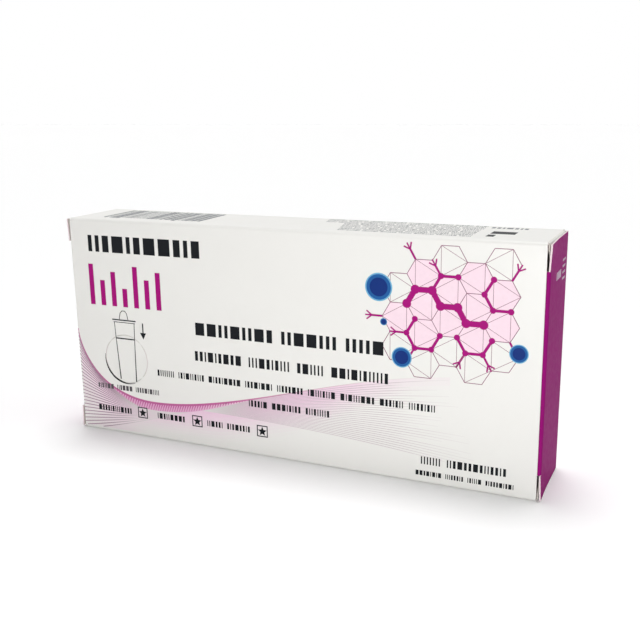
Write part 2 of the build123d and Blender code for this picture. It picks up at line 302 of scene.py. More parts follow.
# Panels: each turns a place on it, in millimetres right and down from its upper left corner
# and out from its surface, into a point in metres
def on_front(u, v, out):
    return Vector((-panel_end + u, front_face - out, top_face - v)) * MM


def on_top(u, v, out):
    return Vector((-panel_end + u, back_face - v, top_face + out)) * MM


def on_right_end(u, v, out):
    return Vector((end_face + out, front_face + u, top_face - v)) * MM


def add(name, data):
    """A new object in the scene."""
    thing = bpy.data.objects.new(name, data)
    bpy.context.scene.collection.objects.link(thing)
    return thing


def mesh_of(name, points, faces, material):
    """A mesh in one material."""
    mesh = bpy.data.meshes.new(name)
    mesh.from_pydata(points, [], faces)
    mesh.materials.append(material)
    return mesh


def facing_out(mesh):
    """Turns every face of a closed mesh outwards."""
    shape = bmesh.new()
    shape.from_mesh(mesh)
    bmesh.ops.recalc_face_normals(shape, faces=shape.faces)
    shape.to_mesh(mesh)
    shape.free()


def turned(u, v, radius, degrees):
    """The point at an angle on a circle, measured from the right towards the bottom."""
    angle = math.radians(degrees)
    return u + radius * math.cos(angle), v + radius * math.sin(angle)


class Print:
    """Shapes printed in one ink on one panel, gathered as thin closed plates."""

    def __init__(self, name, panel, ink_name, body="box", slot="printed_board"):
        self.name, self.panel, self.material = name, panel, ink(ink_name)
        self.body, self.slot = body, slot
        self.base = ink_lift + layers[name] * ink_layer
        self.shapes = 0
        self.points, self.faces, self.fades = [], [], []

    def next_shape(self):
        """Starts a shape, lifted by a hair of its own so that crossing ones don't share a surface."""
        self.lift = self.base + ink_step * (self.shapes % ink_steps)
        self.shapes += 1
        return len(self.points)

    def corner_pair(self, u, v, fade=0.0):
        """One corner, at the root and at the printed surface."""
        self.points += [self.panel(u, v, -ink_root), self.panel(u, v, self.lift)]
        self.fades += [fade, fade]

    def plate(self, outline):
        """A flat shape inside one outline."""
        first, count = self.next_shape(), len(outline)
        for place in outline:
            self.corner_pair(*place)
        roots = [first + 2 * i for i in range(count)]
        self.faces.append(roots)
        self.faces.append([root + 1 for root in reversed(roots)])
        for here, there in zip(roots, roots[1:] + roots[:1]):
            self.faces.append([here, here + 1, there + 1, there])

    def strip(self, lefts, rights, fades=None, closed=False):
        """A band between two rows of points."""
        fades = fades or [0.0] * len(lefts)
        first = self.next_shape()
        for left, right, fade in zip(lefts, rights, fades):
            self.corner_pair(*left, fade)
            self.corner_pair(*right, fade)
        steps = [first + 4 * i for i in range(len(lefts))]
        pairs = list(zip(steps, steps[1:]))
        if closed:
            pairs.append((steps[-1], steps[0]))
        else:
            for end in (steps[0], steps[-1]):
                self.faces.append([end, end + 1, end + 3, end + 2])
        for here, there in pairs:
            self.faces.append([here + 1, there + 1, there + 3, here + 3])
            self.faces.append([here, here + 2, there + 2, there])
            self.faces.append([here, there, there + 1, here + 1])
            self.faces.append([here + 2, here + 3, there + 3, there + 2])

    def line(self, path, width, fades=None, closed=False):
        """A stroke along a path; width is one number or one for each point."""
        count = len(path)
        widths = width if isinstance(width, list) else [width] * count
        lefts, rights = [], []
        for i, (u, v) in enumerate(path):
            before = path[i - 1] if i or closed else path[i]
            after = path[(i + 1) % count] if i + 1 < count or closed else path[i]
            along_u, along_v = after[0] - before[0], after[1] - before[1]
            reach = math.hypot(along_u, along_v)
            side_u, side_v = -along_v / reach, along_u / reach
            half = widths[i] / 2
            if 0 < i < count - 1 or closed:
                half *= self.mitre(before, (u, v), after)
            lefts.append((u + side_u * half, v + side_v * half))
            rights.append((u - side_u * half, v - side_v * half))
        self.strip(lefts, rights, fades, closed)

    @staticmethod
    def mitre(before, here, after):
        """How much longer the corner of a stroke is than its straight half width."""
        arrive = math.atan2(here[1] - before[1], here[0] - before[0])
        leave = math.atan2(after[1] - here[1], after[0] - here[0])
        turn = (leave - arrive + math.pi) % (2 * math.pi) - math.pi
        least_cosine = 0.4
        return 1 / max(math.cos(turn / 2), least_cosine)

    def bar(self, u, v, width, tall):
        self.plate([(u, v), (u + width, v), (u + width, v + tall), (u, v + tall)])

    def frame_of(self, u, v, width, tall, stroke):
        """The outline of a rectangle."""
        half = stroke / 2
        left, right, top, bottom = u + half, u + width - half, v + half, v + tall - half
        self.line([(left, top), (right, top), (right, bottom), (left, bottom)], stroke, closed=True)

    def disc(self, u, v, radius, sides=40):
        self.plate([turned(u, v, radius, 360 * i / sides) for i in range(sides)])

    def finish(self):
        """Makes the mesh and hangs it on its body."""
        mesh = mesh_of(self.name, self.points, self.faces, self.material)
        mesh.attributes.new("fade", "FLOAT", "POINT").data.foreach_set("value", self.fades)
        facing_out(mesh)
        piece = add(self.name, mesh)
        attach(piece, self.body)


# The wave along the front panel: two curves that meet under the middle, for its upper edge at share 0
# and for its lowest line at share 1. To the right of the meeting place the lines have crossed over.
edge_left = ((0, 38.1), (1.5, 52.0), (13.0, 61.4), (29.6, 61.4))
edge_right = ((29.6, 61.4), (60.0, 61.4), (95.0, 44.0), (132.3, 40.2))
lowest_left = ((0, 74.4), (12.0, 71.8), (24.0, 68.8), (38.0, 64.4))
crossed_right = ((38.0, 64.4), (58.0, 58.4), (95.0, 46.0), (134.0, 40.8))
sunk_right = ((29.6, 61.4), (56.0, 61.6), (98.0, 62.0), (142.0, 68.6))
flat_bottom = height - 1.1

# Its lines: how many, how far the shortest reaches, and how steeply the first and the last set out.
# Here and below, a width or a fade that changes along the wave is its first value, and then each change
# as its start, its end and its amount.
wave_lines, wave_seed, line_steps = 28, 5, 44
shortest_line = 0.86
first_slope, last_slope, slope_bend, start_reach = 84, -10, 1.7, 13.0
line_width = (0.27, (12, 40, -0.13))
line_fade = (0.1, (6, 28, 0.7), (46, 72, -0.35))
end_fade_start, end_fade = 112, 0.45

# The dark stroke along its upper edge
stroke_end, stroke_steps = 124, 60
stroke_width = (0.24, (1, 20, 0.5), (42, 92, -0.52))
stroke_fade = (0.1, (52, stroke_end, 0.8))

# The hatched band under that stroke: where it swells and thins out, and its slanting strokes
band_start, band_end, band_steps = 8.5, 72.0, 90
band_swell, band_thinning, band_deepest, band_least = (8, 27), (38, 74), 2.6, 0.05
band_fade = (0.1, (42, band_end, 0.5))
hatch_pitch, hatch_slant, hatch_least, hatch_steps = 0.9, 0.4, 0.3, 400
hatch_widths, hatch_fades = [0.5, 0.3], [0.0, 0.25]

# The tint below the wave: how deep it goes, deeper at the left, and how it fades downwards and along
tint_start, tint_rows, tint_steps = 0.4, 12, 40
tint_depth, tint_left_depth, tint_left = 15.0, 16, (4, 24)
tint_least, tint_most = 0.05, 0.995
tint_down_most, tint_down = 0.95, (0.4, (6, 30, 0.6))
tint_along = (0.45, (2, 20, -0.45), (80, 130, 0.8))


def blend_step(start, end, value):
    """0 before start, 1 after end, and a smooth rise between."""
    t = min(max((value - start) / (end - start), 0.0), 1.0)
    return t * t * (3 - 2 * t)


def changed(u, first, *changes):
    """The value at u of something that changes smoothly along the wave."""
    return sum((amount * blend_step(start, end, u) for start, end, amount in changes), first)


def bezier(points, t):
    """The point at t, from 0 to 1, on a cubic curve with four control points."""
    weights = ((1 - t) ** 3, 3 * t * (1 - t) ** 2, 3 * t * t * (1 - t), t ** 3)
    return tuple(sum(w * p[axis] for w, p in zip(weights, points)) for axis in (0, 1))


def between(first, second, share):
    """Control points part of the way from one curve to another."""
    return tuple(tuple(a + (b - a) * share for a, b in zip(one, two)) for one, two in zip(first, second))


def two_curves(left, right, steps, reach=1.0):
    """Points along two curves that meet, the second as far as reach."""
    start = [bezier(left, i / steps) for i in range(steps)]
    return start + [bezier(right, reach * i / steps) for i in range(steps + 1)]


def wave_path(share, reach):
    """A line of the wave, from the left edge to its end at the right."""
    left = list(between(edge_left, lowest_left, share))
    slope = first_slope * (1 - share) ** slope_bend + last_slope * share
    left[1] = turned(*left[0], start_reach, slope)
    return two_curves(left, between(sunk_right, crossed_right, share), line_steps, reach)


def edge_path(steps):
    """The upper edge of the wave."""
    return two_curves(edge_left, edge_right, steps)


def wave():
    """The fan of thin lines that meets under the middle of the front panel."""
    lines = Print("wave_lines", on_front, "wave_line")
    chance = random.Random(wave_seed)
    for i in range(wave_lines):
        reach = shortest_line + (1 - shortest_line) * chance.random()
        path = [point for point in wave_path((i + 1) / wave_lines, reach) if point[1] < flat_bottom]
        to_end = (end_fade_start, path[-1][0], end_fade)
        fades = [changed(u, *line_fade, to_end) for u, v in path]
        lines.line(path, [changed(u, *line_width) for u, v in path], fades)
    lines.finish()


def wave_edge_stroke():
    """The dark stroke along the upper edge of the wave, which thins out to the right."""
    stroke = Print("wave_edge", on_front, "wave_edge")
    path = [point for point in edge_path(stroke_steps) if point[0] < stroke_end]
    widths = [changed(u, *stroke_width) for u, v in path]
    stroke.line(path, widths, [changed(u, *stroke_fade) for u, v in path])
    stroke.finish()


def band_depth(u):
    """How wide the hatched band under the edge is."""
    return band_deepest * blend_step(*band_swell, u) * (1 - blend_step(*band_thinning, u))


def wave_band():
    """The fill of the hatched band under the upper edge."""
    upper = [point for point in edge_path(band_steps) if band_start < point[0] < band_end]
    lower = [(u, v + max(band_depth(u), band_least)) for u, v in upper]
    fill = Print("wave_band", on_front, "wave_band")
    fill.strip(upper, lower, [changed(u, *band_fade) for u, v in upper])
    fill.finish()


def wave_hatch():
    """The slanting strokes over the band."""
    hatch = Print("wave_hatch", on_front, "wave_hatch")
    last = -math.inf
    for u, v in edge_path(hatch_steps):
        deep = band_depth(u)
        if u - last > hatch_pitch and deep > hatch_least and u < band_end:
            hatch.line([(u, v), (u - hatch_slant * deep, v + deep)], hatch_widths, hatch_fades)
            last = u
    hatch.finish()


def tint_fade(u, down):
    """How far the tint has faded at a place along the wave, and a share of the way down it."""
    downwards = tint_down_most * blend_step(0, 1, down) * changed(u, *tint_down)
    return min(tint_least + downwards + changed(u, *tint_along), tint_most)


def wave_tint():
    """The pale tint under the wave, which fades out downwards and to the right."""
    tint = Print("wave_tint", on_front, "wave_wash")
    upper_edge = [point for point in edge_path(tint_steps) if point[0] > tint_start]
    rooms = [min(tint_depth + tint_left_depth * (1 - blend_step(*tint_left, u)), flat_bottom - v)
             for u, v in upper_edge]
    for row in range(tint_rows):
        upper = [(u, v + room * row / tint_rows) for (u, v), room in zip(upper_edge, rooms)]
        lower = [(u, v + room * (row + 1) / tint_rows) for (u, v), room in zip(upper_edge, rooms)]
        tint.strip(upper, lower, [tint_fade(u, (row + 0.5) / tint_rows) for u, v in upper_edge])
    tint.finish()


# Tiles that stand for type: their height as a share of the row's, and their widths and gaps as shares of
# their height, in the plain and the bold kind
plain = (0.56, (0.16, 0.16, 0.34, 0.6), 0.22)
bold = (0.68, (0.28, 0.28, 0.46, 0.8), 0.24)
tile_foot = 0.14
thinnest_tile = 0.1
fewest_tiles, most_tiles = 6, 10
group_gap, group_room = 0.36, 1.6

# Rows of tiles: left, top, right and bottom, the kind, and the seed of their widths
heading_row = (7.0, 3.9, 50.2, 12.0, bold, 33)
front_rows = (
    (47.4, 30.7, 112.7, 36.8, bold, 11),
    (46.8, 39.6, 113.4, 45.4, plain, 12),
    (31.8, 48.2, 128.6, 52.0, plain, 13),
    (66.2, 54.4, 94.5, 58.2, plain, 14),
    (123.9, 64.3, 149.5, 68.6, plain, 15),
    (122.3, 69.3, 151.7, 72.0, plain, 16),
    (6.4, 63.6, 20.1, 67.2, plain, 17),
    (30.8, 63.6, 41.6, 67.2, plain, 18),
    (50.3, 63.6, 66.7, 67.2, plain, 19),
)
caption_row = (6.9, 55.8, 32.1, 58.9, plain, 20)
top_short_row = (137.6, 2.2, 149.0, 5.6, bold, 50)
end_row = (10.2, 9.3, 17.0, 12.6, bold, 61)

# The boxed stars between the lowest rows
star_box, star_box_stroke, star_box_top = 3.9, 0.35, 63.6
star_box_lefts = (22.8, 44.5, 68.8)
star_reach, star_waist, star_drop = 1.65, 0.45, 0.1


def row_of_tiles(target, left, top, right, bottom, kind, seed):
    """A row of plain upright tiles of one height in groups, about as dark as a line of type."""
    tall_share, width_shares, gap_share = kind
    chance = random.Random(seed)
    row = bottom - top
    tall = row * tall_share
    low = bottom - row * tile_foot
    u = left
    while u < right - tall * thinnest_tile:
        for _ in range(chance.randint(fewest_tiles, most_tiles)):
            wide = min(tall * chance.choice(width_shares), right - u)
            if wide > tall * thinnest_tile:
                target.bar(u, low - tall, wide, tall)
            u += wide + tall * gap_share
        if right - u > row * group_room:
            u += row * group_gap


def star(target, u, v):
    """A filled star with five points."""
    reaches = [star_reach if i % 2 == 0 else star_reach * star_waist for i in range(10)]
    target.plate([turned(u, v, reach, 36 * i - 90) for i, reach in enumerate(reaches)])


def front_type():
    """The rows of tiles below the heading, with boxed stars between the lowest ones, and a grey row."""
    dark = Print("front_rows", on_front, "dark")
    for row in front_rows:
        row_of_tiles(dark, *row)
    for left in star_box_lefts:
        dark.frame_of(left, star_box_top, star_box, star_box, star_box_stroke)
        star(dark, left + star_box / 2, star_box_top + star_box / 2 + star_drop)
    dark.finish()
    caption = Print("front_caption", on_front, "caption")
    row_of_tiles(caption, *caption_row)
    caption.finish()


def heading():
    """The large dark row of tiles at the upper left."""
    dark = Print("front_heading", on_front, "dark")
    row_of_tiles(dark, *heading_row)
    dark.finish()


# The magenta bars below the heading
bars_left, bars_bottom, bars_tall, bar_width, bar_pitch = 6.4, 29.0, 13.9, 1.9, 4.42
bar_heights = (1.0, 0.62, 0.84, 0.45, 1.0, 0.7, 0.9)


def magenta_bars():
    """A row of plain magenta bars of several heights, below the heading."""
    bars = Print("front_bars", on_front, "magenta")
    for i, share in enumerate(bar_heights):
        bars.bar(bars_left + bar_pitch * i, bars_bottom - bars_tall * share, bar_width, bars_tall * share)
    bars.finish()


# The tube pictogram: strokes for its cap, its mouth, its two walls and its filling line, and its arrow
thin, thick = 0.24, 0.42
wall_widths = [thin, thin, thick]
tube_strokes = (
    (((17.6, 33.3), (18.1, 31.2), (18.9, 30.4), (20.0, 30.4), (20.7, 31.2), (21.1, 33.3)), thin),
    (((14.7, 33.6), (24.2, 33.6)), thick),
    (((15.2, 34.4), (23.8, 34.4)), thin),
    (((15.5, 34.4), (15.8, 40.0), (16.7, 54.4)), wall_widths),
    (((23.5, 34.4), (23.3, 40.0), (23.0, 54.8)), wall_widths),
    (((15.8, 40.0), (23.3, 40.0)), thick),
    (((26.9, 34.0), (26.9, 38.0)), thick),
)
arrow_head = ((25.7, 37.3), (28.1, 37.3), (26.9, 39.5))
sweep_start, sweep_turn, sweep_steps, sweep_gap = 70, 118, 24, 0.3
sweep_thin, sweep_swell = 0.1, 0.5


def tube_pictogram():
    """A tube drawn in thin lines over the push-in disc, with an arrow beside it and a swelling arc below."""
    lines = Print("front_pictogram", on_front, "dark")
    for path, width in tube_strokes:
        lines.line(path, width)
    lines.plate(arrow_head)
    shares = [i / sweep_steps for i in range(sweep_steps + 1)]
    radius = disc_radius + sweep_gap
    sweep = [turned(disc_u, disc_v, radius, sweep_start + sweep_turn * share) for share in shares]
    lines.line(sweep, [sweep_thin + sweep_swell * math.sin(math.pi * share) for share in shares])
    lines.finish()


# The honeycomb network at the upper right, its cells counted across and down the comb
cell_side = 5.0
network_u, network_v = 131.5, 23.9
comb = [(-2, 0), (-2, 1), (-2, 2), (-1, -1), (-1, 0), (-1, 1), (-1, 2), (0, -2), (0, -1), (0, 0), (0, 1),
        (1, -2), (1, -1), (1, 0), (1, 1), (2, -3), (2, -2), (2, -1), (2, 0)]
tinted = [(-2, 1), (-1, 0), (-1, 1), (0, -1), (0, 0), (1, -2), (1, -1), (1, 0), (2, -2), (-1, -1), (2, -1)]
cell_width, spoke_width = 0.2, 0.13

# Chains of thick bonds, each a cell and the range of its corners, then what is drawn along them:
# the piece, its chains, their width, and the radius and sides of their nodes
stem = (((-1, 0), range(3, 7)), ((0, 0), range(4, 7)), ((1, -1), range(1, 4)))
bonds_round = (((-1, 1), range(0, 5)), ((0, -1), range(2, 6)), ((1, 0), range(0, 4)), ((2, -2), range(1, 5)))
bond_kinds = (("network_stem", stem, 1.7, 1.35, 24), ("network_bonds", bonds_round, 0.85, 0.9, 20))

# Forked twigs, and the cells and corners where they stand
twig_width, twig_foot_width = 0.45, 0.63
twig_length, twig_fork, twig_spread = 3.2, 2.1, 38
twig_roots = (((-1, 1), 2), ((-1, 1), 3), ((0, -1), 4), ((1, 0), 1), ((1, 0), 2), ((2, -2), 5),
              ((-2, 1), 3), ((2, -1), 1), ((-1, -1), 4))


def cell_corners(q, r):
    """The six corners of a cell, the first at the right and the next below it."""
    u = network_u + cell_side * 1.5 * q
    v = network_v + cell_side * math.sqrt(3) * (r + q / 2)
    return [turned(u, v, cell_side, 60 * i) for i in range(6)]


def key_of(point):
    """A point, rounded so that it can be told whether two are the same."""
    return round(point[0], 2), round(point[1], 2)


def edges_of(chains):
    """Each edge of the chains once, with its two ends."""
    edges = {}
    for cell, corner_range in chains:
        corners = cell_corners(*cell)
        path = [corners[i % 6] for i in corner_range]
        for ends in zip(path, path[1:]):
            edges.setdefault(frozenset(key_of(end) for end in ends), ends)
    return list(edges.values())


def ends_of(edges):
    """Each end of the edges once."""
    return list({key_of(end): end for edge in edges for end in edge}.values())


def cells():
    """The thin cells of the honeycomb, some tinted, with thin spokes across them."""
    tint = Print("network_tint", on_front, "cell_tint")
    for cell in tinted:
        tint.plate(cell_corners(*cell))
    tint.finish()
    outlines = Print("network_cells", on_front, "mesh_line")
    for edge in edges_of((cell, range(7)) for cell in comb):
        outlines.line(edge, cell_width)
    outlines.finish()
    spokes = Print("network_spokes", on_front, "mesh_line")
    for q, r in comb:
        corners = cell_corners(q, r)
        for i in range((q + r) % 2, 6, 2):
            spokes.line([corners[i], corners[(i + 2) % 6]], spoke_width)
    spokes.finish()


def bonds():
    """The thick bonds along the edges of some cells, with round nodes at their ends."""
    nodes = Print("network_nodes", on_front, "magenta")
    for name, chains, width, radius, sides in bond_kinds:
        edges = edges_of(chains)
        strokes = Print(name, on_front, "magenta")
        for edge in edges:
            strokes.line(edge, width)
        strokes.finish()
        for end in ends_of(edges):
            nodes.disc(*end, radius, sides)
    nodes.finish()


def twigs():
    """Short forked twigs that leave the outer corners of the network."""
    target = Print("network_twigs", on_front, "magenta")
    for cell, corner in twig_roots:
        root = cell_corners(*cell)[corner]
        tip = turned(*root, twig_length, 60 * corner)
        target.line([root, tip], twig_foot_width)
        for side in (-twig_spread, 0, twig_spread):
            target.line([tip, turned(*tip, twig_fork, 60 * corner + side)], twig_width)
    target.finish()


# Plain blue discs round the network, each a place and a radius, and what each of their three inks covers
blue_places = ((110.4, 15.4, 4.2), (117.6, 35.8, 3.1), (151.6, 31.2, 2.7), (112.0, 25.6, 1.1))
blue_inks = (("disc_rims", "pale_blue", 1.0), ("disc_rings", "mid_blue", 0.9),
             ("disc_cores", "deep_blue", 0.66))


def blue_discs():
    """Plain blue discs of four sizes, paler towards their rims."""
    for name, ink_name, share in blue_inks:
        part = Print(name, on_front, ink_name)
        for u, v, radius in blue_places:
            part.disc(u, v, radius * share)
        part.finish()


# Print on the top panel: bars, fine rows that lean to the right, and two dark rectangles
top_bars_left, top_bars_right, top_bars_v = 9.4, 46.0, 2.8
top_bar_tall, top_bar_taller, taller_chance = 17.4, 18.6, 0.1
top_bar_unit, top_bars_seed = 0.39, 7
top_rows_count, top_rows_left, top_rows_right = 9, 84.5, 136.0
top_rows_lean, top_rows_inset, top_rows_before_inset = 0.6, 6.5, 3
top_rows_v, top_row_pitch, top_row_tall = 1.5, 2.45, 1.6
top_rows_seed = 40
top_marks = ((139.8, 10.8, 7.0, 4.6), (139.8, 17.2, 2.2, 3.6))


def top_bars():
    """A group of upright bars in several widths."""
    bars = Print("top_bars", on_top, "top_grey")
    chance = random.Random(top_bars_seed)
    unit, double, triple = top_bar_unit, 2 * top_bar_unit, 3 * top_bar_unit
    u = top_bars_left
    while u < top_bars_right:
        width = chance.choice((unit, unit, double, triple))
        bars.bar(u, top_bars_v, width, top_bar_taller if chance.random() < taller_chance else top_bar_tall)
        u += width + chance.choice((unit, unit, double))
    bars.finish()


def top_rows():
    """A block of fine rows of tiles, and a short row beside it."""
    rows = Print("top_rows", on_top, "top_grey")
    for i in range(top_rows_count):
        inset = top_rows_inset if i >= top_rows_before_inset else 0
        left, top = top_rows_left + top_rows_lean * i + inset, top_rows_v + top_row_pitch * i
        row_of_tiles(rows, left, top, top_rows_right, top + top_row_tall, bold, top_rows_seed + i)
    row_of_tiles(rows, *top_short_row)
    rows.finish()


def top_print():
    """Bars, rows and two dark rectangles on the narrow top panel."""
    top_bars()
    top_rows()
    dark = Print("top_mark", on_top, "dark")
    for rectangle in top_marks:
        dark.bar(*rectangle)
    dark.finish()


# The small rows at the right of the end panel's print
end_rows_left, end_rows_right, end_rows_count, end_rows_seed = 19.2, 23.6, 4, 62
end_rows_v, end_row_pitch, end_row_tall = 7.2, 1.8, 1.1


def end_print():
    """Pale rows of tiles near the top of the right end: one, and a group of four smaller ones."""
    pale = Print("end_marks", on_right_end, "end_pale", "right_flap", "end_board")
    row_of_tiles(pale, *end_row)
    for i in range(end_rows_count):
        top = end_rows_v + end_row_pitch * i
        row_of_tiles(pale, end_rows_left, top, end_rows_right, top + end_row_tall, plain, end_rows_seed + i)
    pale.finish()


# How far a face must turn towards a direction to count as facing it
squarely, mostly, rather, halfway, partly, slightly = 0.9, 0.7, 0.6, 0.5, 0.25, 0.2

# The finishes of the carton and of an end flap, in the order in which dress_frame gives them
carton_outside, carton_inside, carton_cut = range(3)
flap_outside, flap_tongue, flap_inside, flap_cut = range(4)


def on_outline(centre):
    """True on the four outer sides of the carton and on the folds between them."""
    over_y = abs(centre.y / MM) - (half_depth - long_fold_radius)
    over_z = abs(centre.z / MM - half_height) - (half_height - long_fold_radius)
    if over_y > 0 and over_z > 0:
        distance = math.hypot(over_y, over_z)
    else:
        distance = max(over_y, over_z)
    return abs(distance - long_fold_radius) < surface_slack


def carton_side(centre, normal):
    """Which finish a face of the carton has."""
    along_box = abs(normal.x)
    if along_box > squarely and abs(centre.x / MM) < panel_end + surface_slack:
        return carton_cut
    if on_outline(centre) or normal.x * centre.x > 0 and along_box > halfway:
        return carton_outside
    return carton_inside


def flap_side(centre, normal):
    """Which finish a face of an end flap has; the fold at its front has the tongue's."""
    outward = math.copysign(1, centre.x)
    x, y, z = abs(centre.x) / MM, centre.y / MM, centre.z / MM
    across, along = normal.x * outward, normal.y
    beside_slit = abs(z - half_height) > half_height - ear_length
    if abs(normal.z) > mostly or along < -mostly and beside_slit and x > hinge_x - crease_slack:
        return flap_cut
    arm = Vector((x - hinge_x, y - hinge_y)).normalized()
    out = arm.x * across + arm.y * along
    if x < end_face - fold_reach:
        return flap_tongue if out > rather else flap_inside if out < -rather else flap_cut
    if y < fold_end_y and not beside_slit:
        return flap_tongue if across > -slightly and out > 0 else flap_inside
    if y > hinge_y and across < partly:
        return flap_tongue
    return flap_outside if across > partly else flap_inside if across < -partly else flap_cut


def dress(node, materials, choose=None):
    """Gives a node its finishes; choose picks one for each face from its middle and direction."""
    mesh = frame["nodes"][node].data
    mesh.materials.clear()
    for material in materials:
        mesh.materials.append(material)
    for face in mesh.polygons:
        face.material_index = choose(face.center, face.normal) if choose else 0


def foil_finish(name, wrinkle):
    """Satin laminate foil with creases, under a dull lacquer."""
    finish = Finish(name, foil_silver, roughness=0.4, Metallic=0.7)
    finish.uneven(0.32, 0.5, size=6.0)
    finish.bump(depth=wrinkle, size=7.0, detail=5.0)
    finish.bump(depth=0.01, size=0.8, detail=2.0)
    return finish.material


def paper_finish(name, colour):
    """Smooth thin paper with faint fibres."""
    finish = Finish(name, colour, roughness=0.85)
    finish.mottle(colour, change=0.02, size=1.0)
    finish.bump(depth=0.012, size=0.3, detail=5.0)
    return finish.material


def film_finish(name):
    """Thin clear film, which shows by its gloss."""
    finish = Finish(name, film_clear, roughness=0.12, Alpha=0.16)
    finish.bump(depth=0.05, size=5.0, detail=2.0)
    return finish.material


def liquid_finish(name):
    """Clear liquid with a faintly uneven surface."""
    finish = Finish(name, buffer_clear, roughness=0.05, Alpha=0.5)
    finish.bump(depth=0.02, size=8.0, detail=1.0)
    return finish.material


def moulded_finish(name, colour, low, high):
    """Moulded plastic with a faint grain."""
    finish = Finish(name, colour, roughness=low, Subsurface_Weight=0.15, Subsurface_Scale=0.002)
    finish.uneven(low, high, size=2.5)
    finish.bump(depth=0.004, size=0.5, detail=3.0)
    return finish.material


def milky_finish(name):
    """Soft milky plastic that lets some light through."""
    finish = Finish(name, milky_white, roughness=0.38, Alpha=0.8,
                    Subsurface_Weight=0.2, Subsurface_Scale=0.002)
    finish.uneven(0.32, 0.46, size=2.0)
    finish.bump(depth=0.006, size=0.7, detail=3.0)
    return finish.material


def flock_finish(name):
    """Short upright fibres, matt with a soft sheen."""
    finish = Finish(name, flock_tip, roughness=0.95, Sheen_Weight=0.5, Sheen_Roughness=0.6)
    finish.mottle(flock_root, change=0.05, size=0.25)
    finish.bump(depth=0.12, size=0.12, detail=4.0)
    return finish.material


# How far from the middle of the box the purple starts on the fold and tongue of each flap
right_bleed_end, left_bleed_end = 75.5, end_face


def dress_frame():
    """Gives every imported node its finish."""
    outside, inside, edge = outside_board(), inside_board(), cut_edge()
    dress("carton", [outside, inside, edge], carton_side)
    purple_side = purple_board()
    for side, bleed_end in (("right", right_bleed_end), ("left", left_bleed_end)):
        tongue = tongue_board(side + "_tongue", bleed_end)
        dress(side + "_end_flap", [purple_side, tongue, inside, edge], flap_side)
    dress("leaflet", [paper_finish("leaflet_sheet", leaflet_white)])
    dress("swab_sleeve_paper", [paper_finish("sleeve_back", sleeve_white)])
    dress("swab_sleeve_film", [film_finish("sleeve_film")])
    dress("swab_shaft", [moulded_finish("swab_plastic", swab_white, 0.28, 0.38)])
    dress("swab_tip", [flock_finish("swab_flock")])
    dress("extraction_tube", [milky_finish("tube_plastic")])
    dress("tube_foil_lid", [foil_finish("lid_foil", 0.06)])
    dress("buffer_liquid", [liquid_finish("buffer")])
    dress("dropper_cap", [moulded_finish("cap_plastic", cap_white, 0.3, 0.4)])


# The foil pouch: a sealed rim round a pillow that lies over the cassette
pouch_low, pouch_high = (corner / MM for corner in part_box("cassette_pouch"))
pouch_middle = (pouch_low + pouch_high) / 2
pouch_half_long = (pouch_high.x - pouch_low.x) / 2
pouch_half_tall = (pouch_high.z - pouch_low.z) / 2
pouch_seal, half_sheet = 8.0, 0.07
pouch_crown = (pouch_high.y - pouch_low.y) / 2 - half_sheet
cassette_half_long, cassette_half_wide = 37.0, 12.0
pouch_columns, pouch_rows = 156, 78
notch_x, notch_reach = pouch_half_long - pouch_seal, 1.8
crimp_pitch, crimp_depth = 1.1, 0.05
flat_share, round_share = 0.45, 0.55
fold_count, fold_drift, fold_height = 9, 0.05, 0.75
crease_height, crease_base = 0.05, 0.97
dent_long, dent_tall, dent_slice = 9, 6, 3.0
crease_long, crease_tall, crease_slice = 4, 5, 7.0
least_rise = 0.02


def crease_at(x, z):
    """Soft dents and sharper creases in the foil over the cassette."""
    dent = noise.noise(Vector((x / dent_long, z / dent_tall, dent_slice)))
    return dent - abs(noise.noise(Vector((x / crease_long, z / crease_tall, crease_slice))))


def fold_at(x, z, rim):
    """Folds that run in from the seal, all the way round."""
    around = math.degrees(math.atan2(z * pouch_half_long / pouch_half_tall, x))
    return noise.noise(Vector((*turned(0, 0, fold_count, around), fold_drift * rim)))


def pouch_rise(x, z):
    """How far the foil stands out of the pouch's middle plane, at a place measured from its centre."""
    rim = min(pouch_half_long - abs(x), pouch_half_tall - abs(z))
    if rim < pouch_seal:
        return crimp_depth * (1 + math.sin(2 * math.pi * rim / crimp_pitch)) / 2
    inner_long, inner_tall = pouch_half_long - pouch_seal, pouch_half_tall - pouch_seal
    slope_long = (inner_long - abs(x)) / (inner_long - cassette_half_long)
    slope_tall = (inner_tall - abs(z)) / (inner_tall - cassette_half_wide)
    share = min(slope_long, slope_tall, 1.0)
    swell = pouch_crown * (flat_share * share + round_share * blend_step(0, 1, share))
    dented = swell * (crease_base + crease_height * crease_at(x, z))
    return max(dented + fold_height * fold_at(x, z, rim) * share * (1 - share), least_rise)


def pouch_point(side, row, column):
    """A point of one of the pouch's two sheets, cut back at the tear notches."""
    x = pouch_half_long * (2 * column / pouch_columns - 1)
    z = pouch_half_tall * (2 * row / pouch_rows - 1)
    out = half_sheet + pouch_rise(x, z)
    edge = pouch_half_tall - max(notch_reach - abs(x - notch_x), 0)
    z = math.copysign(min(abs(z), edge), z)
    return (pouch_middle + Vector((x, side * out, z))) * MM


def pouch_faces():
    """The faces of the two sheets, and those that join them all the way round."""
    columns, rows = range(pouch_columns), range(pouch_rows)
    wide = pouch_columns + 1
    sheet = wide * (pouch_rows + 1)
    corners = [first + row * wide + column for first in (0, sheet) for row in rows for column in columns]
    faces = [(corner, corner + 1, corner + wide + 1, corner + wide) for corner in corners]
    lower = list(columns)
    right = [row * wide + pouch_columns for row in rows]
    upper = [pouch_rows * wide + column + 1 for column in reversed(columns)]
    left = [(row + 1) * wide for row in reversed(rows)]
    rim = lower + right + upper + left
    for here, there in zip(rim, rim[1:] + rim[:1]):
        faces.append((here, there, there + sheet, here + sheet))
    return faces


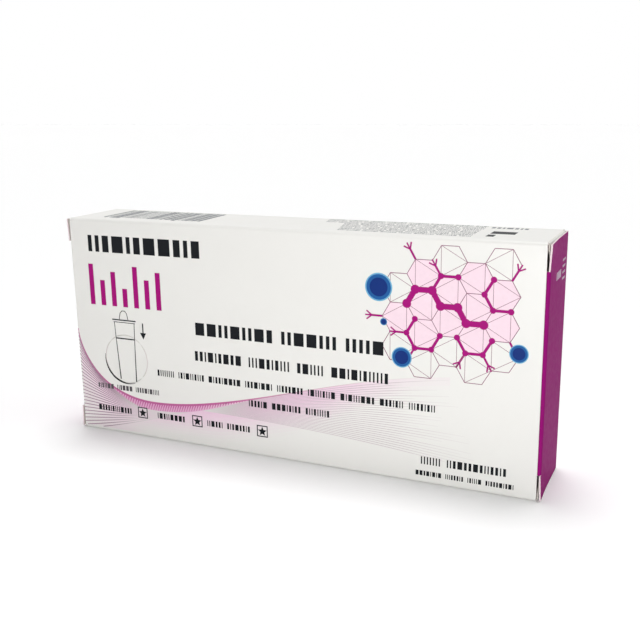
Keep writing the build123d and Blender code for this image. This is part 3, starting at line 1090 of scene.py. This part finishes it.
def foil_pouch():
    """The sealed pouch in wrinkled foil, with crimped seals and a tear notch in each long edge."""
    points = [pouch_point(side, row, column) for side in (-1, 1)
              for row in range(pouch_rows + 1) for column in range(pouch_columns + 1)]
    mesh = mesh_of("foil_pouch", points, pouch_faces(), foil_finish("pouch_foil", 0.12))
    facing_out(mesh)
    mesh.shade_smooth()
    pouch = add("foil_pouch", mesh)
    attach(pouch, "box")
    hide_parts("cassette_pouch")


# Light, with places in metres
sky_level = 0.25
floor_glow = 0.08
floor_colour = (0.95, 0.95, 0.95, 1)
floor_half, floor_drop = 3.0, 0.00002
key_from, key_level, key_softness = (-0.04, 0.20, 1.0), 0.69, 30
side_from, side_level, side_softness = (1.0, 0.3, 0.35), 0.12, 60
fill_place = Vector((0.08, -0.31, 0.03))
fill_aim = Vector((0.02, -0.013, 0.035))
fill_level, fill_size = 0.55, 0.1

# The photograph's view: the camera's place in metres, its turn, dip and tilt in degrees, and its lens
camera_place = Vector((0.12195, -0.25195, 0.11276))
camera_angles = (24.602, 14.027, -0.830)
camera_lens, camera_sensor = 50.67, 36.0
nearest_seen = 0.01


def seen_directly(tree):
    """1 for rays from the camera, and for those that metal, gloss or glass sends on."""
    path = node_of(tree, "LightPath", {}).outputs
    camera_or_gloss = worked_out(tree, "MAXIMUM", path["Is Camera Ray"], path["Is Glossy Ray"])
    return worked_out(tree, "MAXIMUM", camera_or_gloss, path["Is Transmission Ray"])


def sky():
    """A plain white surrounding that lights the box evenly."""
    world = bpy.data.worlds.new("plain_sky")
    world.use_nodes = True
    bpy.context.scene.world = world
    tree = world.node_tree
    background = tree.nodes["Background"]
    background.inputs["Color"].default_value = (1, 1, 1, 1)
    tree.links.new(ranged(tree, seen_directly(tree), sky_level, 1.0), background.inputs["Strength"])


def floor_white():
    """Matt white that glows a little where it is seen directly."""
    material = bpy.data.materials.new("floor_white")
    material.use_nodes = True
    tree = material.node_tree
    tree.nodes.clear()
    matt = node_of(tree, "BsdfDiffuse", {"Color": floor_colour}).outputs[0]
    glow_level = worked_out(tree, "MULTIPLY", seen_directly(tree), floor_glow)
    glow = node_of(tree, "Emission", {"Strength": glow_level}).outputs[0]
    both = node_of(tree, "AddShader", {0: matt, 1: glow}).outputs[0]
    node_of(tree, "OutputMaterial", {"Surface": both})
    return material


def floor():
    """A wide white floor just under the box, which keeps its shadow."""
    sides = ((-1, -1), (1, -1), (1, 1), (-1, 1))
    corners = [(x * floor_half, y * floor_half, -floor_drop) for x, y in sides]
    plane = add("floor", mesh_of("floor", corners, [(0, 1, 2, 3)], floor_white()))


def aimed(name, data, towards):
    """A lamp whose light comes from the direction that towards points to."""
    light = add(name, data)
    light.rotation_mode = "QUATERNION"
    light.rotation_quaternion = Vector(towards).to_track_quat("Z", "Y")
    return light


def far_lamp(name, towards, level, softness):
    """A far, wide lamp; level is how bright it makes white."""
    data = bpy.data.lights.new(name, "SUN")
    data.energy = math.pi * level
    data.angle = math.radians(softness)
    aimed(name, data, towards)


def near_lamp(name, place, aim, level, size):
    """A square lamp near the box, which falls off across it; level holds where it aims."""
    data = bpy.data.lights.new(name, "AREA")
    data.energy = level * (math.pi * (place - aim).length) ** 2
    data.size = size
    light = aimed(name, data, place - aim)
    light.location = place
    light.visible_camera = False


def lights():
    """A wide lamp above and behind, one near and low before the front, and a weak one at the right."""
    far_lamp("key", key_from, key_level, key_softness)
    far_lamp("side", side_from, side_level, side_softness)
    near_lamp("fill", fill_place, fill_aim, fill_level, fill_size)


def camera():
    """Looks at the box as the photograph does."""
    yaw, pitch, roll = (math.radians(angle) for angle in camera_angles)
    level = math.cos(pitch)
    ahead = Vector((-math.sin(yaw) * level, math.cos(yaw) * level, -math.sin(pitch)))
    right = Vector((math.cos(yaw), math.sin(yaw), 0))
    up = right.cross(ahead)
    across = math.cos(roll) * right + math.sin(roll) * up
    above = math.cos(roll) * up - math.sin(roll) * right
    data = bpy.data.cameras.new("camera")
    data.sensor_width, data.lens, data.clip_start = camera_sensor, camera_lens, nearest_seen
    view = add("camera", data)
    turn = Matrix((across, above, -ahead)).transposed().to_4x4()
    view.matrix_world = Matrix.Translation(camera_place) @ turn
    bpy.context.scene.camera = view


camera()
sky()
floor()
lights()
bpy.context.scene.view_settings.view_transform = "Standard"
dress_frame()
foil_pouch()
wave_tint()
wave()
wave_band()
wave_hatch()
wave_edge_stroke()
front_type()
heading()
magenta_bars()
tube_pictogram()
cells()
bonds()
twigs()
blue_discs()
top_print()
end_print()
